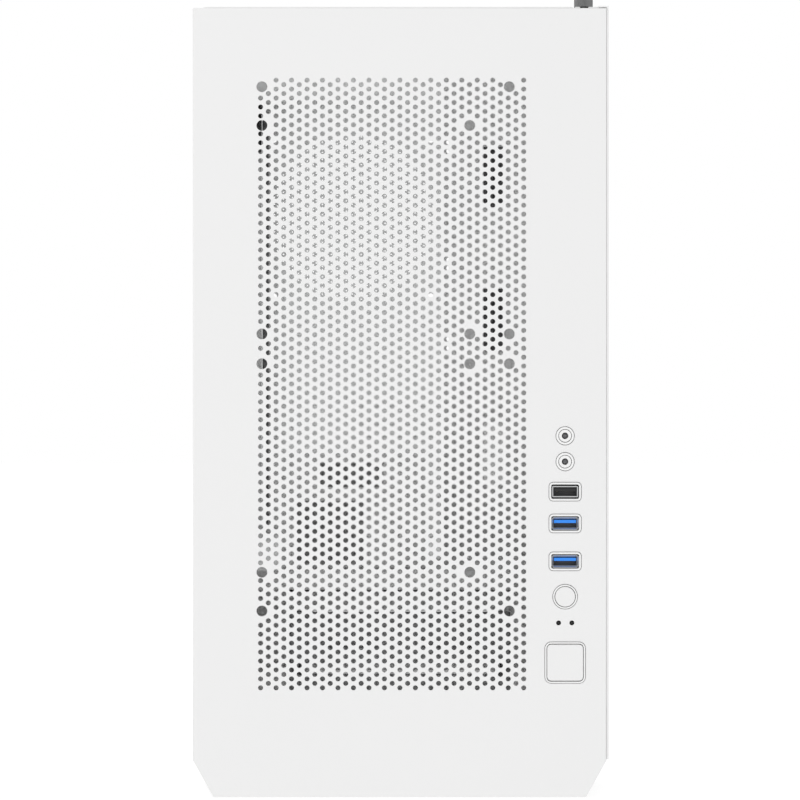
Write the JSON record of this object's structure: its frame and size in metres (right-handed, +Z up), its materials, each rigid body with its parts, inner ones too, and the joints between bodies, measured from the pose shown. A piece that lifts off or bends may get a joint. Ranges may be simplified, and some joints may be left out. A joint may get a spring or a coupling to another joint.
{
  "type": "desktop computer tower",
  "caption": "Compact white computer tower with a perforated front panel, a glass side door, a port column, drive bays and a power supply shroud.",
  "frame": {"origin": "centre of the footprint on the ground, below the middle of the case", "axes": "+Z up, -Y out of the perforated front panel, +X to the right of somebody facing the front, so the glass door is at -X"},
  "size_m": [0.2102, 0.4, 0.4052],
  "materials": {
    "white_steel": "satin white powder coat",
    "white_plastic": "fine satin white",
    "grey_plastic": "light texture, mid grey",
    "black_plastic": "satin black",
    "blue_plastic": "semi-gloss blue",
    "rubber": "matt black",
    "clear_glass": "polished, faintly tinted",
    "plain_steel": "zinc-plated, satin",
    "filter_mesh": "fine white nylon mesh in a flexible frame",
    "circuit_board": "dark solder mask"
  },
  "bodies": {
    "chassis": {"front_panel": "white_steel", "front_post": "white_steel", "floor_plate": "white_steel", "roof_panel": "white_steel", "rear_panel": "white_steel", "motherboard_tray": "white_steel", "psu_shroud": "white_steel", "lower_side_plate": "white_steel", "cable_bar": "white_steel", "ssd_cage": "white_steel", "drive_cage": "white_steel", "slot_cover_1": "white_steel", "slot_cover_2": "white_steel", "slot_cover_3": "white_steel", "slot_cover_4": "white_steel", "port_housing": "white_plastic", "headphone_jack": "white_plastic", "microphone_jack": "white_plastic", "usb_upper_tongue": "black_plastic", "led_lens_left": "black_plastic", "led_lens_right": "black_plastic", "reset_switch": "black_plastic", "power_switch": "black_plastic", "hinge_bracket_upper": "black_plastic", "psu_filter_rail_left": "black_plastic", "psu_filter_rail_right": "black_plastic", "foot_front_left": "black_plastic", "foot_front_right": "black_plastic", "foot_rear_left": "black_plastic", "foot_rear_right": "black_plastic", "usb_middle_tongue": "blue_plastic", "usb_lower_tongue": "blue_plastic", "cable_grommet_upper": "rubber", "cable_grommet_middle": "rubber", "rear_seal": "rubber", "foot_pad_front_left": "rubber", "foot_pad_front_right": "rubber", "foot_pad_rear_left": "rubber", "foot_pad_rear_right": "rubber", "usb_upper_shell": "plain_steel", "usb_middle_shell": "plain_steel", "usb_lower_shell": "plain_steel", "hinge_pin_upper": "plain_steel", "hinge_pin_lower": "plain_steel", "slot_clamp_hinge": "plain_steel", "port_board": "circuit_board"},
    "door": {"door_glass": "clear_glass", "door_hinge_rail": "white_plastic", "door_magnet_rail": "black_plastic"},
    "side_panel": {"right_side_panel": "white_steel"},
    "screw_top": {"thumb_screw_top": "plain_steel"},
    "screw_rear_upper": {"thumb_screw_rear_upper": "plain_steel"},
    "screw_rear_lower": {"thumb_screw_rear_lower": "plain_steel"},
    "power_button": {"power_button": "white_plastic"},
    "reset_button": {"reset_button": "white_plastic"},
    "top_filter": {"top_filter": "filter_mesh"},
    "psu_filter": {"psu_filter": "filter_mesh"},
    "caddy_upper": {"drive_caddy_upper": "grey_plastic"},
    "caddy_lower": {"drive_caddy_lower": "grey_plastic"},
    "slot_clamp": {"slot_clamp": "white_steel"}
  },
  "joints": [
    {"name": "door_hinge", "type": "hinge", "parent": "chassis", "child": "door", "pos_m": [-0.1026, 0.184, 0.254], "axis": [0, 0, -1], "range_deg": [0, 100]},
    {"name": "side_panel_slide", "type": "slide", "parent": "chassis", "child": "side_panel", "axis": [0, 1, 0], "range_m": [0, 0.02]},
    {"name": "top_screw_turn", "type": "hinge", "parent": "chassis", "child": "screw_top", "pos_m": [0.093, -0.1905, 0.4], "axis": [0, 0, 1], "continuous": true},
    {"name": "rear_upper_screw_turn", "type": "hinge", "parent": "side_panel", "child": "screw_rear_upper", "pos_m": [0.0965, 0.196, 0.34], "axis": [0, 1, 0], "continuous": true},
    {"name": "rear_lower_screw_turn", "type": "hinge", "parent": "side_panel", "child": "screw_rear_lower", "pos_m": [0.0965, 0.196, 0.07], "axis": [0, 1, 0], "continuous": true},
    {"name": "power_button_press", "type": "slide", "parent": "chassis", "child": "power_button", "axis": [0, 1, 0], "range_m": [0, 0.0012], "stiffness_N_per_m": 400},
    {"name": "reset_button_press", "type": "slide", "parent": "chassis", "child": "reset_button", "axis": [0, 1, 0], "range_m": [0, 0.001], "stiffness_N_per_m": 400},
    {"name": "top_filter_lift", "type": "slide", "parent": "chassis", "child": "top_filter", "axis": [0, 0, 1], "range_m": [0, 0.04]},
    {"name": "psu_filter_slide", "type": "slide", "parent": "chassis", "child": "psu_filter", "axis": [0, 1, 0], "range_m": [0, 0.12]},
    {"name": "caddy_upper_slide", "type": "slide", "parent": "chassis", "child": "caddy_upper", "axis": [0, 1, 0], "range_m": [0, 0.1]},
    {"name": "caddy_lower_slide", "type": "slide", "parent": "chassis", "child": "caddy_lower", "axis": [0, 1, 0], "range_m": [0, 0.1]},
    {"name": "slot_clamp_hinge", "type": "hinge", "parent": "chassis", "child": "slot_clamp", "pos_m": [-0.054, 0.1955, 0.16], "axis": [0, 0, 1], "range_deg": [0, 100]}
  ]
}
